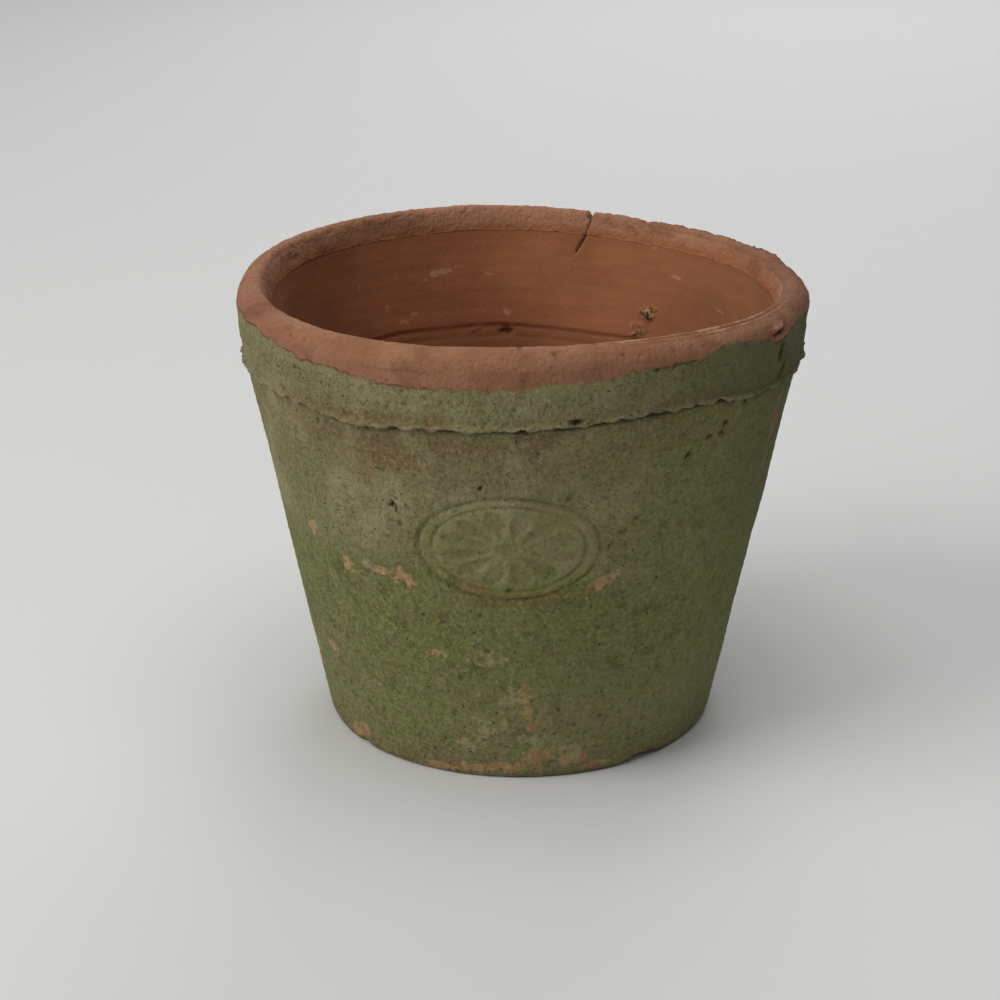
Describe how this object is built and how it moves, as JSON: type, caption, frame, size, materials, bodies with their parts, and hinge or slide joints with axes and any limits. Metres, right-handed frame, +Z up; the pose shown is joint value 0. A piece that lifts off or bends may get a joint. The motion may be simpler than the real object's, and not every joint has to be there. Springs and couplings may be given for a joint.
{
  "type": "terracotta plant pot",
  "caption": "Round tapered terracotta plant pot with a thick rolled rim collar, a pressed plain oval on its front and a drained floor.",
  "frame": {"origin": "middle of the underside, on the surface that the pot stands on", "axes": "+Z up along the pot's own axis, -Y towards the front with the pressed oval, +X to the right seen from the front"},
  "size_m": [0.16, 0.16, 0.1315],
  "materials": {
    "clay_floor": "fired clay, damp and algae-stained",
    "clay_wall": "fired clay, weathered, with green algae and lime bloom",
    "clay_rim": "fired clay, matt, worn and chipped"
  },
  "bodies": {
    "root": {"floor_disc": "clay_floor", "wall": "clay_wall", "rim_collar": "clay_rim"}
  },
  "joints": []
}
